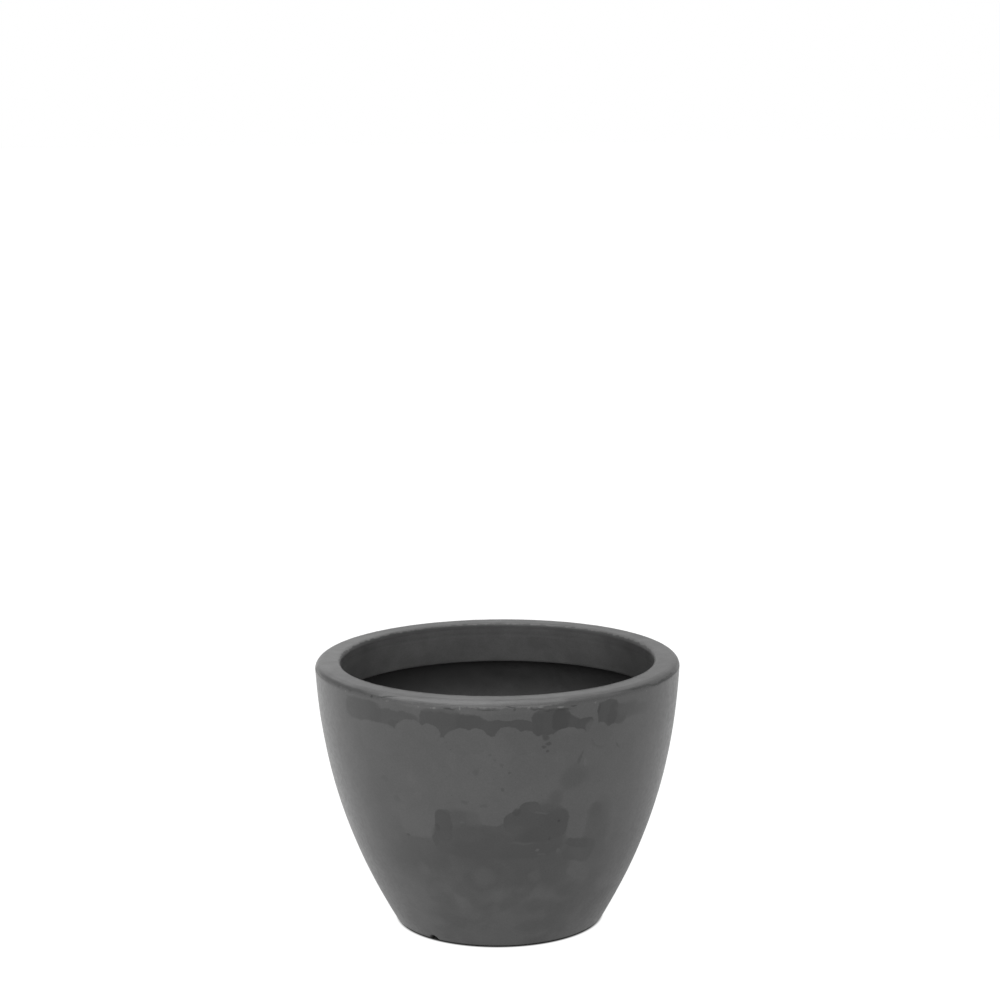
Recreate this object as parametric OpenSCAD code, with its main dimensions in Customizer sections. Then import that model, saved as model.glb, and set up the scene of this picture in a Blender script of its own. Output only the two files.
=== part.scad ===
// Concrete bowl planter: a thin cast bowl, closed at the top by a separately cast rim ring.
// The ring's collar hangs inside the bowl's mouth and is bedded in mortar. A rubber plug
// closes the drain sleeve that is cast into the floor. Z is up, and the origin is the
// centre of the flat ring that the bowl stands on.

/* [Bowl] */
// Widest outside diameter, at the rim
rim_d = 406; // [340:2:500]
// Overall height
bowl_h = 300; // [240:5:380]
// Outside diameter of the flat ring that it stands on
foot_d = 222; // [180:2:260]
// Lean of the wall from upright, just under the rim
rim_lean = 3; // [0:0.5:6]
// Lean of the wall from upright, just above the foot
foot_lean = 30; // [26:0.5:36]
// Share of the wall's length over which each end keeps its lean
belly = 0.355; // [0.3:0.005:0.4]
// Thickness of the bowl's wall
wall = 9; // [7:0.5:12]
// Rounding between the wall and the floor, inside
floor_round = 24; // [12:1:36]

/* [Foot and floor] */
// Thickness of the floor beside the drain
floor_t = 12; // [9:0.5:18]
// How far the floor falls from its edge to the drain
floor_fall = 2; // [0:0.5:5]
// Clear height under the floor, inside the foot
foot_h = 8; // [7.5:0.5:14]
// Width of the flat ring that it stands on
foot_w = 18; // [12:1:26]
// Draft of the foot's inner side
foot_draft = 3; // [1:0.5:6]
// Rounding of the foot's outer edge
foot_round = 9; // [4:0.5:12]
// Drain notches across the foot
notch_n = 2; // [1:1:4]
// Width of each half-round drain notch
notch_d = 14; // [8:0.5:14]
// Direction of the first notch, from +X towards +Y
notch_turn = 232; // [0:1:359]

/* [Rim ring] */
// Width of the rim, from the outside to the mouth
rim_w = 29; // [25:1:35]
// Rounding of the rim's outer edge
rim_round = 9; // [8:0.5:12]
// Rounding of the rim's inner edge
mouth_round = 6; // [4:0.5:10]
// How far the ring's nose reaches down the outside
nose_h = 5.5; // [3:0.5:6]
// Depth of the collar's lower edge below the top
collar_h = 49; // [40:1:65]
// Height of the upright land at the mouth
land_h = 8; // [6:1:14]
// Thickness of the collar at its lower edge
collar_edge = 6.5; // [4:0.5:9]
// Rounding of the collar's lower inner edge
collar_round = 2; // [1:0.25:3]

/* [Mortar] */
// Thickness of the mortar between the ring and the bowl
bond = 1.5; // [1:0.25:2]
// How far the mortar is raked back from the outside
rake = 0.8; // [0.4:0.1:2]

/* [Drain] */
// Bore of the drain sleeve
drain_d = 22; // [16:1:30]
// Wall of the drain sleeve
sleeve_wall = 2.5; // [1.5:0.25:4]
// Height of the ring that keys the sleeve into the floor
key_h = 3; // [2:0.5:4]
// How far that ring stands out of the sleeve
key_w = 3; // [2:0.5:6]
// How far the plug's head reaches past the sleeve
head_lip = 5.5; // [4:0.5:9]
// Thickness of the plug's head
head_h = 4; // [3:0.5:7]
// Depth of the seat that the plug's head sits in
seat_h = 2; // [1:0.5:4]
// Gap round the plug's head in its seat
seat_gap = 1; // [0.5:0.25:3]
// Gap between the plug's sealing ribs and the sleeve
plug_gap = 0.08; // [0.03:0.01:0.1]
// Sealing ribs on the plug
rib_n = 3; // [1:1:4]
// Height of each sealing rib above the plug's shank
rib_h = 1; // [0.5:0.25:1.5]
// Width of the plug's pull tab
tab_w = 20; // [14:1:24]
// Height of the pull tab above the plug's head
tab_h = 15; // [11:1:22]
// Thickness of the pull tab
tab_t = 5; // [3:0.5:7]

/* [Hidden] */

$fn = 180;
WALL_STEPS = 36; // straight runs that make up the curved wall
ARC_STEPS = 10;  // straight runs in each rounding

rim_r = rim_d / 2;
foot_r = foot_d / 2;
drain_r = drain_d / 2;
mouth_r = rim_r - rim_w;
sleeve_r = drain_r + sleeve_wall;
head_r = sleeve_r + head_lip;
seat_r = head_r + seat_gap;

nose_z = bowl_h - nose_h;         // underside of the ring's nose
edge_z = nose_z - bond;           // top edge of the bowl's wall
collar_z = bowl_h - collar_h;     // lower edge of the collar
floor_z = foot_h + floor_t;       // floor beside the drain
seat_z = floor_z - seat_h;        // seat of the plug's head, and top of the sleeve
key_z = (foot_h + seat_z - key_h) / 2;

function polar(r, a) = [r * cos(a), r * sin(a)];
function arc(centre, r, from, to) =
    [for (i = [0 : ARC_STEPS]) centre + polar(r, from + (to - from) * i / ARC_STEPS)];

// The outside of the wall is one cubic curve, tangent to the foot's rounding and the rim's.
rim_centre = [rim_r - rim_round, bowl_h - rim_round];
foot_centre = [foot_r, foot_round];
wall_top = rim_centre + polar(rim_round, -rim_lean);
wall_foot = foot_centre + polar(foot_round, -foot_lean);
reach = belly * norm(wall_top - wall_foot);
WALL_CURVE = [
    wall_foot,
    wall_foot + reach * [sin(foot_lean), cos(foot_lean)],
    wall_top - reach * [sin(rim_lean), cos(rim_lean)],
    wall_top
];

function curve_at(p, t) =
    let (u = 1 - t)
    u * u * u * p[0] + 3 * u * u * t * p[1] + 3 * u * t * t * p[2] + t * t * t * p[3];
function slope_at(p, t) =
    let (u = 1 - t)
    u * u * (p[1] - p[0]) + 2 * u * t * (p[2] - p[1]) + t * t * (p[3] - p[2]);

// The point at share t of the way up the wall, at a depth inside its outer face
function wall_at(t, depth = 0) =
    let (s = slope_at(WALL_CURVE, t))
    curve_at(WALL_CURVE, t) + depth / norm(s) * [-s[1], s[0]];
function lean_at(t) = let (s = slope_at(WALL_CURVE, t)) atan2(s[0], s[1]);

// The share t at which the wall, at that depth, passes height z
function share_at(z, depth, low = 0, high = 1, halvings = 30) =
    let (mid = (low + high) / 2)
    halvings == 0 ? mid
    : wall_at(mid, depth)[1] < z ? share_at(z, depth, mid, high, halvings - 1)
    : share_at(z, depth, low, mid, halvings - 1);

// Angle on the rim's outer rounding at height z
function nose_angle(z) = asin((z - rim_centre[1]) / rim_round);

// The ring beds on a straight taper inside the wall, from the collar's lower edge upwards.
collar_share = share_at(collar_z, wall);
bed_low = wall_at(collar_share, wall);
bed_high = wall_at(1, wall);
function bed_at(z) = bed_low + (bed_high - bed_low) * (z - bed_low[1]) / (bed_high[1] - bed_low[1]);

// The keyed side of the sleeve, which the floor is cast against, from the top down
function sleeve_side() = [
    [sleeve_r, seat_z],
    [sleeve_r, key_z + key_h],
    [sleeve_r + key_w, key_z + key_h],
    [sleeve_r + key_w, key_z],
    [sleeve_r, key_z],
    [sleeve_r, foot_h]
];

// The floor's edge is rounded into the wall's inner face.
floor_edge_z = floor_z + floor_fall;
floor_share = share_at(floor_edge_z + floor_round, wall + floor_round);
floor_centre = wall_at(floor_share, wall + floor_round);

concrete = [0.36, 0.36, 0.36];
ring_concrete = [0.48, 0.48, 0.48];

// The thin bowl, with its floor, foot and drain notches, and the bed for the ring
module bowl_shell() {
    outline = concat(
        [[foot_r - foot_w, 0]],
        arc(foot_centre, foot_round, -90, -foot_lean),
        [for (i = [1 : WALL_STEPS - 1]) wall_at(i / WALL_STEPS)],
        arc(rim_centre, rim_round, -rim_lean, nose_angle(edge_z)),
        [bed_at(edge_z)],
        [for (i = [0 : WALL_STEPS])
            wall_at(collar_share + (floor_share - collar_share) * i / WALL_STEPS, wall)],
        arc(floor_centre, floor_round, -lean_at(floor_share), -90),
        [[seat_r, floor_z], [seat_r, seat_z]],
        sleeve_side(),
        [[foot_r - foot_w - foot_draft, foot_h]]
    );
    color(concrete)
    difference() {
        rotate_extrude() polygon(outline);
        for (i = [0 : notch_n - 1])
            rotate([0, 90, notch_turn + i * 360 / notch_n])
                cylinder(d = notch_d, h = rim_r);
    }
}

// The cast rim: a rounded top that covers the wall's edge, and a collar inside it
module rim_ring() {
    mouth_centre = [mouth_r + mouth_round, bowl_h - mouth_round];
    collar_r = bed_low[0] - bond - collar_edge;
    outline = concat(
        arc(rim_centre, rim_round, nose_angle(nose_z), 90),
        arc(mouth_centre, mouth_round, 90, 180),
        [[mouth_r, mouth_centre[1] - land_h]],
        arc([collar_r + collar_round, collar_z + collar_round], collar_round, 180, 270),
        [bed_at(collar_z) - [bond, 0]],
        [bed_at(nose_z) - [bond, 0]]
    );
    color(ring_concrete)
        rotate_extrude() polygon(outline);
}

// The mortar that beds the ring: a layer on the wall's edge, and one round the collar
module rim_mortar() {
    outline = [
        bed_at(collar_z) - [bond, 0],
        bed_at(collar_z),
        bed_at(edge_z),
        rim_centre + polar(rim_round, nose_angle(edge_z)) - [rake, 0],
        rim_centre + polar(rim_round, nose_angle(nose_z)) - [rake, 0],
        bed_at(nose_z) - [bond, 0]
    ];
    color([0.2, 0.2, 0.2])
        rotate_extrude() polygon(outline);
}

// The plastic sleeve, cast into the floor, that lines the drain hole
module drain_sleeve() {
    color([0.55, 0.55, 0.53])
        rotate_extrude()
        polygon(concat([[drain_r, foot_h], [drain_r, seat_z]], sleeve_side()));
}

// The rubber plug: a head, a shank with sealing ribs and a tab to pull it out by
module drain_plug() {
    shank_r = drain_r - plug_gap - rib_h;
    pitch = (seat_z - foot_h) / rib_n;
    // One rib's outline, as its height above the shank at shares of the pitch
    rib = [[0, 0], [rib_h, 0.3], [rib_h, 0.6], [0, 0.9]];
    ribs = [for (i = [0 : rib_n - 1], p = rib) [shank_r + p[0], foot_h + (i + p[1]) * pitch]];
    head_round = head_h / 2;
    head = arc([head_r - head_round, seat_z + head_round], head_round, 0, 90);
    color([0.09, 0.09, 0.09]) {
        rotate_extrude()
            polygon(concat(
                [[0, foot_h]], ribs,
                [[shank_r, seat_z], [head_r, seat_z]], head, [[0, seat_z + head_h]]
            ));
        translate([0, tab_t / 2, seat_z + head_h])
        rotate([90, 0, 0])
        linear_extrude(tab_t) {
            translate([-tab_w / 2, -head_round]) square([tab_w, tab_h + head_round - tab_w / 2]);
            translate([0, tab_h - tab_w / 2]) circle(d = tab_w);
        }
    }
}

bowl_shell();
rim_ring();
rim_mortar();
drain_sleeve();
drain_plug();
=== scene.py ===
"""A fibre-concrete bowl planter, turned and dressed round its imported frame.

Each piece is turned about Z from a section that repeats the solids' own arcs and curve, in metres.
The bowl and its rim then get the slight relief of a casting and of hand-laid concrete, and the
bowl its drain notches. The looks come from a grey wash that is brushed over dark concrete, mark by
mark, and runs on over the joint between the bowl and its rim.
"""

import logging
import math
import random
from collections.abc import Iterable
from dataclasses import dataclass, field
from enum import Enum

import bpy
from mathutils import Matrix, Vector


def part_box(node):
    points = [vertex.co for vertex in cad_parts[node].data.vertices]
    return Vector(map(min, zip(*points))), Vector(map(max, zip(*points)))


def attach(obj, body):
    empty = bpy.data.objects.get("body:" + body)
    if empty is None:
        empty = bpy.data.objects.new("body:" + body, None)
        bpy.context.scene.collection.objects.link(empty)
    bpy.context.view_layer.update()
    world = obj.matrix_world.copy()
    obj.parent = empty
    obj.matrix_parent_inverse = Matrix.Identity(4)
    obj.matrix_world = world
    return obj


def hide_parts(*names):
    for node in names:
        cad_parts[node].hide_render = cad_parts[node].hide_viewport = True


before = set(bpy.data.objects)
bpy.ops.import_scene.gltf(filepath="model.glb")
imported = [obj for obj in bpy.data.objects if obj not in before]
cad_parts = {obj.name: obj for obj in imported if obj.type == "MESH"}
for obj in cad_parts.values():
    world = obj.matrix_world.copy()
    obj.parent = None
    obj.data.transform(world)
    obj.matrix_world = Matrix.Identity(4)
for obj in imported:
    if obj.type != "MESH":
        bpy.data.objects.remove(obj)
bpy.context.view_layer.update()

MM = 0.001
LOG = logging.getLogger("planter")

Socket = bpy.types.NodeSocket
Value = float | Socket


class Surface(Enum):
    """How a stretch of a section was made, which sets the relief that it gets."""

    CAST = "cast"
    LAID = "laid"
    SEAT = "seat"


class Coat(Enum):
    """How much of the grey wash a mark leaves on the dark concrete."""

    HEAPED = 2.4
    THICK = 1.3
    FULL = 1.0
    RUBBED = 0.66
    WIPED = 0.42
    SPARED = 0.20
    BARE = 0.0


class Brush(Enum):
    """The outline of a brush mark, as the power of its superellipse."""

    ROUND = 2
    FLAT = 4


# Outlines, in the half plane of radius and height


def point(radius: float, height: float) -> Vector:
    """Returns a place on a section, from its radius and height in metres."""
    return Vector((radius, height))


def polar(radius: float, degrees: float) -> Vector:
    """Returns the step of that length in that direction, from +radius towards +height."""
    turn = math.radians(degrees)
    return Vector((radius * math.cos(turn), radius * math.sin(turn)))


def arc(centre: Vector, radius: float, start: float, end: float, chord: float) -> list[Vector]:
    """Draws an arc.

    Args:
        centre: Its centre.
        radius: Its radius in metres.
        start: Direction of its first point, in degrees.
        end: Direction of its last point, in degrees.
        chord: Longest step between points.

    Returns:
        The arc's points, both ends among them.
    """
    steps = max(2, math.ceil(abs(math.radians(end - start)) * radius / chord))
    return [centre + polar(radius, start + (end - start) * i / steps) for i in range(steps + 1)]


def rounded(corners: list[tuple[float, float, float]], chord: float) -> list[Vector]:
    """Draws a run of straight lines whose inner corners are rounded.

    Args:
        corners: Each corner's radius, height and rounding, which the two ends don't use.
        chord: Longest step between points.

    Returns:
        The run's points, both ends among them.
    """
    spots = [point(*corner[:2]) for corner in corners]
    drawn = spots[:1]
    for before, corner, after, (*_, radius) in zip(spots, spots[1:], spots[2:], corners[1:]):
        if radius == 0:
            drawn.append(corner)
            continue
        back, ahead = (before - corner).normalized(), (after - corner).normalized()
        half = back.angle(ahead) / 2
        centre = corner + (back + ahead).normalized() * radius / math.sin(half)
        first = corner + back * radius / math.tan(half) - centre
        last = corner + ahead * radius / math.tan(half) - centre
        start = math.degrees(math.atan2(first.y, first.x))
        turn = (math.degrees(math.atan2(last.y, last.x)) - start + 180) % 360 - 180
        drawn += arc(centre, radius, start, start + turn, min(chord, radius / 2))
    drawn.append(spots[-1])
    return even(drawn, chord)


def even(points: list[Vector], chord: float) -> list[Vector]:
    """Returns the same line with points added, so that no step is longer than chord."""
    filled = [points[0]]
    for here, there in zip(points, points[1:]):
        steps = max(1, math.ceil((there - here).length / chord))
        filled += [here.lerp(there, i / steps) for i in range(1, steps + 1)]
    return filled


@dataclass
class Outline:
    """A section, drawn stretch by stretch.

    Args:
        points: Its points, as radius and height in metres.
        surfaces: The surface that each point belongs to.
    """

    points: list[Vector] = field(default_factory=list)
    surfaces: list[Surface] = field(default_factory=list)

    def add(self, stretch: list[Vector], surface: Surface) -> None:
        """Adds a stretch, without the point that it shares with the one before."""
        for spot in stretch:
            if self.points and (spot - self.points[-1]).length < 0.01 * MM:
                continue
            self.points.append(spot)
            self.surfaces.append(surface)

    def freedom(self, surface: Surface, fade: float) -> list[float]:
        """Says how far each point may be moved by the relief of one surface.

        Args:
            surface: The surface whose relief it is.
            fade: The distance from a seat over which the relief comes in.

        Returns:
            A weight from 0 to 1 for each point.
        """
        seats = [p for p, s in zip(self.points, self.surfaces) if s is Surface.SEAT]
        weights = []
        for spot, made in zip(self.points, self.surfaces):
            near = min(((spot - seat).length for seat in seats), default=fade)
            share = min(1.0, near / fade)
            weights.append(share * share * (3 - 2 * share) if made is surface else 0.0)
        return weights


@dataclass(frozen=True)
class Section:
    """The sizes that the pieces share. The overall ones come from the frame.

    Args:
        rim_r: Widest radius, at the rim.
        height: Overall height.
        nose_z: Underside of the ring's nose.
        edge_z: Top edge of the bowl's wall.
        collar_z: Lower edge of the ring's collar.
    """

    rim_r: float
    height: float
    nose_z: float
    edge_z: float
    collar_z: float
    foot_r: float = 111 * MM
    foot_round: float = 9 * MM
    rim_round: float = 9 * MM
    rim_lean: float = 3
    foot_lean: float = 30
    belly: float = 0.355
    wall: float = 9 * MM
    bond: float = 1.5 * MM

    @classmethod
    def measured(cls) -> "Section":
        """Returns the section with its overall sizes measured on the frame's nodes."""
        shell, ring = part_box("bowl_shell"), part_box("rim_ring")
        return cls(
            rim_r=shell[1].x,
            height=ring[1].z,
            nose_z=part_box("rim_mortar")[1].z,
            edge_z=shell[1].z,
            collar_z=ring[0].z,
        )

    @property
    def rim_centre(self) -> Vector:
        """Centre of the rim's outer rounding."""
        return point(self.rim_r - self.rim_round, self.height - self.rim_round)

    @property
    def foot_centre(self) -> Vector:
        """Centre of the foot's outer rounding."""
        return point(self.foot_r, self.foot_round)

    def curve(self) -> list[Vector]:
        """Returns the four control points of the wall's outer face, from the foot up."""
        foot = self.foot_centre + polar(self.foot_round, -self.foot_lean)
        top = self.rim_centre + polar(self.rim_round, -self.rim_lean)
        reach = self.belly * (top - foot).length
        low, high = math.radians(self.foot_lean), math.radians(self.rim_lean)
        return [
            foot,
            foot + reach * Vector((math.sin(low), math.cos(low))),
            top - reach * Vector((math.sin(high), math.cos(high))),
            top,
        ]

    def wall_at(self, share: float, depth: float = 0.0) -> Vector:
        """Finds a place in the wall.

        Args:
            share: How far up the wall's curve, from 0 to 1.
            depth: Distance inside the outer face.

        Returns:
            The place, as radius and height.
        """
        a, b, c, d = self.curve()
        rest = 1 - share
        spot = rest**3 * a + 3 * rest**2 * share * b + 3 * rest * share**2 * c + share**3 * d
        slope = rest**2 * (b - a) + 2 * rest * share * (c - b) + share**2 * (d - c)
        return spot + depth / slope.length * Vector((-slope.y, slope.x))

    def share_at(self, height: float, depth: float) -> float:
        """Returns the share of the curve at which the wall, at that depth, passes a height."""
        low, high = 0.0, 1.0
        for _ in range(40):
            middle = (low + high) / 2
            if self.wall_at(middle, depth).y < height:
                low = middle
            else:
                high = middle
        return low

    def lean_at(self, share: float) -> float:
        """Returns the wall's lean from upright at a share of the curve, in degrees."""
        step = self.wall_at(share + 0.001) - self.wall_at(share - 0.001)
        return math.degrees(math.atan2(step.x, step.y))

    def nose_angle(self, height: float) -> float:
        """Returns the direction on the rim's outer rounding at that height, in degrees."""
        return math.degrees(math.asin((height - self.rim_centre.y) / self.rim_round))

    def bed_at(self, height: float) -> Vector:
        """Returns the place on the wall's inner taper, where the ring is bedded."""
        low = self.wall_at(self.share_at(self.collar_z, self.wall), self.wall)
        high = self.wall_at(1, self.wall)
        return low.lerp(high, (height - low.y) / (high.y - low.y))


# Modelling


def clear_selection() -> None:
    """Leaves edit mode, with nothing selected."""
    if bpy.context.object and bpy.context.object.mode != "OBJECT":
        bpy.ops.object.mode_set(mode="OBJECT")
    bpy.ops.object.select_all(action="DESELECT")


def take(piece: bpy.types.Object) -> None:
    """Makes a piece the only selected and the active object."""
    clear_selection()
    piece.select_set(True)
    bpy.context.view_layer.objects.active = piece


def apply_modifier(piece: bpy.types.Object, kind: str, **settings: object) -> None:
    """Adds a modifier to a piece and applies it.

    Args:
        piece: The piece.
        kind: The modifier's type.
        **settings: Its properties.
    """
    take(piece)
    modifier = piece.modifiers.new(kind.lower(), kind)
    for name, setting in settings.items():
        setattr(modifier, name, setting)
    bpy.ops.object.modifier_apply(modifier=modifier.name)


def carve(piece: bpy.types.Object, cutter: bpy.types.Object) -> None:
    """Cuts the cutter's shape out of a piece and throws the cutter away."""
    apply_modifier(piece, "BOOLEAN", object=cutter, operation="DIFFERENCE", solver="EXACT")
    bpy.data.objects.remove(cutter)


def smooth(piece: bpy.types.Object, degrees: float) -> None:
    """Shades a piece smooth, apart from edges sharper than that angle."""
    take(piece)
    bpy.ops.object.shade_smooth_by_angle(angle=math.radians(degrees))


@dataclass(frozen=True)
class Lathe:
    """Turns a section about Z.

    Args:
        sides: Sides of the turned piece.
        fade: Distance from a seat over which relief comes in.
    """

    sides: int
    fade: float = 7 * MM

    def turn(self, name: str, outline: Outline, closed: bool = True) -> bpy.types.Object:
        """Draws a section point by point and spins it into a piece.

        Args:
            name: The piece's name.
            outline: Its section.
            closed: True where the section runs back to its first point, and not to the axis.

        Returns:
            The piece, at the origin, with a vertex group for its cast and for its laid surface.
        """
        clear_selection()
        bpy.ops.mesh.primitive_plane_add(size=MM, enter_editmode=True, location=(0, 0, 0))
        piece = bpy.context.object
        piece.name = piece.data.name = name
        spots = [Vector((spot.x, 0, spot.y)) for spot in outline.points]
        spots += spots[:1] if closed else []
        bpy.ops.mesh.merge(type="CENTER")
        bpy.ops.transform.translate(value=spots[0])
        for here, there in zip(spots, spots[1:]):
            bpy.ops.mesh.extrude_vertices_move(TRANSFORM_OT_translate={"value": there - here})
        bpy.ops.object.mode_set(mode="OBJECT")
        for surface in (Surface.CAST, Surface.LAID):
            group = piece.vertex_groups.new(name=surface.value)
            weights = outline.freedom(surface, self.fade)
            for index, weight in enumerate(weights + weights[:1] * closed):
                group.add([index], weight, "REPLACE")
        bpy.ops.object.mode_set(mode="EDIT")
        bpy.ops.mesh.select_all(action="SELECT")
        bpy.ops.mesh.spin(steps=self.sides, angle=math.tau, center=(0, 0, 0), axis=(0, 0, 1))
        bpy.ops.mesh.select_all(action="SELECT")
        bpy.ops.mesh.remove_doubles(threshold=0.001 * MM)
        bpy.ops.mesh.normals_make_consistent(inside=False)
        bpy.ops.object.mode_set(mode="OBJECT")
        return piece


@dataclass(frozen=True)
class Relief:
    """An unevenness that goes mostly into the surface, so that no size grows.

    Args:
        surface: The surface that has it.
        size: Distance from one rise to the next.
        depth: From its deepest hollows to its highest rises.
        octaves: Finer repeats that are added.
        level: Share of the depth that lies inside the true surface.
    """

    surface: Surface
    size: float
    depth: float
    octaves: int = 1
    level: float = 1.0

    def press(self, piece: bpy.types.Object) -> None:
        """Presses the relief into a piece."""
        clouds = bpy.data.textures.new(f"{self.surface.value}_relief", "CLOUDS")
        clouds.noise_scale = self.size
        clouds.noise_depth = self.octaves
        apply_modifier(
            piece,
            "DISPLACE",
            texture=clouds,
            texture_coords="LOCAL",
            vertex_group=self.surface.value,
            mid_level=self.level,
            strength=self.depth,
        )


CAST_WAVE = Relief(Surface.CAST, size=70 * MM, depth=0.4 * MM, level=0.8)
CAST_GRAIN = Relief(Surface.CAST, size=9 * MM, depth=0.10 * MM, octaves=2, level=0.8)
RIM_LUMPS = Relief(Surface.CAST, size=16 * MM, depth=0.45 * MM, octaves=2, level=0.9)
LAID_WAVE = Relief(Surface.LAID, size=34 * MM, depth=0.9 * MM)
LAID_GRAIN = Relief(Surface.LAID, size=8 * MM, depth=0.5 * MM, octaves=3)


# Material recipes


class Recipe:
    """The nodes of one material or group, added by calls that return a socket."""

    def __init__(self, tree: bpy.types.NodeTree) -> None:
        """Starts a recipe in an empty node tree."""
        self.tree = tree

    def put(self, target: Socket, value: object) -> None:
        """Links a socket to a target, or sets the target to a plain value."""
        if isinstance(value, Socket):
            self.tree.links.new(value, target)
        else:
            target.default_value = value

    def node(
        self, kind: str, inputs: dict[str | int, object] | None = None, **settings: object
    ) -> bpy.types.Node:
        """Adds a node.

        Args:
            kind: Its type, without the ShaderNode in front.
            inputs: Values or sockets for its inputs, by name or number.
            **settings: Its properties.

        Returns:
            The node.
        """
        made = self.tree.nodes.new(f"ShaderNode{kind}")
        for name, setting in settings.items():
            setattr(made, name, setting)
        for key, value in (inputs or {}).items():
            self.put(made.inputs[key], value)
        return made

    def math(self, operation: str, *values: Value) -> Socket:
        """Adds a Math node and returns its result."""
        return self.node("Math", dict(enumerate(values)), operation=operation).outputs[0]

    def vector(self, operation: str, *values: object, output: int = 0) -> Socket:
        """Adds a Vector Math node and returns its result."""
        made = self.node("VectorMath", dict(enumerate(values)), operation=operation)
        return made.outputs[output]

    def fit(self, value: Socket, low: float, high: float, to_low: float, to_high: float) -> Socket:
        """Eases a value from one range into another.

        Args:
            value: The value.
            low: Where the first range starts.
            high: Where it ends, which may be below low.
            to_low: What low becomes.
            to_high: What high becomes.

        Returns:
            The eased value, held within the second range.
        """
        inputs = {0: value, 1: low, 2: high, 3: to_low, 4: to_high}
        return self.node("MapRange", inputs, interpolation_type="SMOOTHSTEP").outputs[0]

    def mix(self, share: Value, start: Value, end: Value) -> Socket:
        """Mixes two numbers by a share, which reaches past the second where it is above 1."""
        inputs = {0: share, 2: start, 3: end}
        return self.node("Mix", inputs, data_type="FLOAT", clamp_factor=False).outputs[0]

    def noise(self, place: Socket, size: float, detail: float = 2.0, **inputs: Value) -> Socket:
        """Adds a noise.

        Args:
            place: Coordinates in metres.
            size: Distance from one rise to the next, in metres.
            detail: Finer repeats that are added.
            **inputs: Other inputs by name, such as Distortion.

        Returns:
            The noise, mostly from 0.3 to 0.7.
        """
        values = {"Vector": place, "Scale": 1 / size, "Detail": detail, **inputs}
        return self.node("TexNoise", values).outputs["Fac"]

    def swing(self, noise: Socket, low: float, high: float) -> Socket:
        """Eases a noise's usual range into one from low to high."""
        return self.fit(noise, 0.3, 0.7, low, high)

    def cloudy(
        self, place: Socket, size: float, low: float, high: float, detail: float = 3.0
    ) -> Socket:
        """Adds a noise that swings evenly from low to high."""
        return self.swing(self.noise(place, size, detail), low, high)

    def scatter(self, place: Socket, size: float, channel: int) -> tuple[Socket, Socket]:
        """Scatters cells, and returns the distance from their middles and a draw for each."""
        cells = self.node("TexVoronoi", {"Vector": place, "Scale": 1 / size})
        drawn = self.node("SeparateColor", {0: cells.outputs["Color"]}).outputs[channel]
        return cells.outputs["Distance"], drawn

    def axis(self, vector: Socket, number: int) -> Socket:
        """Returns a vector's first, second or third number, counted from 0."""
        return self.node("SeparateXYZ", {0: vector}).outputs[number]

    def level(self, vector: Socket) -> Socket:
        """Returns a vector without its height."""
        return self.vector("MULTIPLY", vector, (1, 1, 0))

    def grey(self, value: Value) -> Socket:
        """Makes a neutral colour of a number."""
        return self.node("CombineColor", {0: value, 1: value, 2: value}).outputs[0]

    @property
    def place(self) -> Socket:
        """The piece's own coordinates, in metres in the frame."""
        return self.node("TexCoord").outputs["Object"]

    def out_from_axis(self) -> Socket:
        """Returns how squarely a face looks away from the axis, from -1 to 1."""
        normal = self.node("NewGeometry").outputs["Normal"]
        outward = self.vector("NORMALIZE", self.level(self.place))
        return self.vector("DOT_PRODUCT", normal, outward, output=1)


def material(name: str) -> tuple[bpy.types.Material, Recipe]:
    """Returns a new material and the recipe of its empty tree."""
    made = bpy.data.materials.new(name)
    made.use_nodes = True
    made.node_tree.nodes.clear()
    return made, Recipe(made.node_tree)


def finish_surface(
    recipe: Recipe, colour: Socket, roughness: Value, height: Socket, rise: float, shine: float
) -> None:
    """Ends a material's recipe in its shader.

    Args:
        recipe: The recipe.
        colour: Its colour.
        roughness: Its roughness.
        height: Its fine relief, from 0 to 1.
        rise: Height of that relief in metres.
        shine: The shader's specular level.
    """
    bump = recipe.node("Bump", {"Height": height, "Distance": rise, "Strength": 1.0})
    shader = recipe.node(
        "BsdfPrincipled",
        {
            "Base Color": colour,
            "Roughness": roughness,
            "Specular IOR Level": shine,
            "Normal": bump.outputs[0],
        },
    )
    recipe.node("OutputMaterial", {"Surface": shader.outputs[0]})


@dataclass(frozen=True)
class Dab:
    """One mark of the brush on the planter's wall.

    Args:
        azimuth: Its middle, in degrees to the right of the middle of its side.
        height: Its middle's height in millimetres.
        width: Half its width in millimetres, along the wall.
        reach: Half its height in millimetres.
        coat: What it leaves.
        strength: How much of the coat it leaves.
        edge: Softness of its edge, as a share of its size.
        brush: Its outline.
        lean: Its turn in degrees, anticlockwise.
    """

    azimuth: float
    height: float
    width: float
    reach: float
    coat: Coat
    strength: float = 1.0
    edge: float = 0.10
    brush: Brush = Brush.ROUND
    lean: float = 0.0


HEAPED, THICK, FULL, RUBBED, WIPED, SPARED, BARE = Coat
FLAT = Brush.FLAT

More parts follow.
